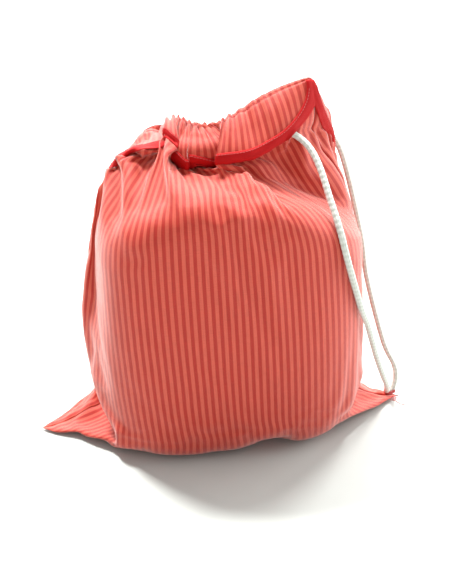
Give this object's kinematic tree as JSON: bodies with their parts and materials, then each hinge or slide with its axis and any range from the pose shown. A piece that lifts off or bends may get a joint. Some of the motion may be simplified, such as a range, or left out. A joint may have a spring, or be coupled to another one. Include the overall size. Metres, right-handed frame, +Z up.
{
  "type": "stuff sack",
  "caption": "Striped cotton drawstring sack, filled and standing, with a folded casing bound in red tape and a cord sewn to one bottom corner.",
  "frame": {"origin": "middle of the bottom's bounding box, on the table, without the drawcord", "axes": "+X to the ear that the cord is sewn to, +Y from the front to the back, +Z up"},
  "size_m": [0.3841, 0.1684, 0.357],
  "materials": {
    "cotton": "plain woven cotton with red and pale pink stripes, matt",
    "cotton_inside": "wrong side of the striped cotton, with overcast raw edges",
    "red_tape": "folded cotton bias tape, slightly satin",
    "red_thread": "cotton sewing thread",
    "white_cord": "braided cotton cord, matt"
  },
  "bodies": {
    "root": {"front_panel": "cotton", "back_panel": "cotton", "front_casing": "cotton", "back_casing": "cotton", "left_side_seam": "cotton_inside", "right_side_seam": "cotton_inside", "bottom_seam": "cotton_inside", "front_binding": "red_tape", "back_binding": "red_tape", "front_fold_stitching": "red_thread", "back_fold_stitching": "red_thread", "front_binding_stitching": "red_thread", "back_binding_stitching": "red_thread", "cord_whipping": "red_thread", "corner_tack": "red_thread", "thread_tail": "red_thread", "drawcord": "white_cord"}
  },
  "joints": []
}
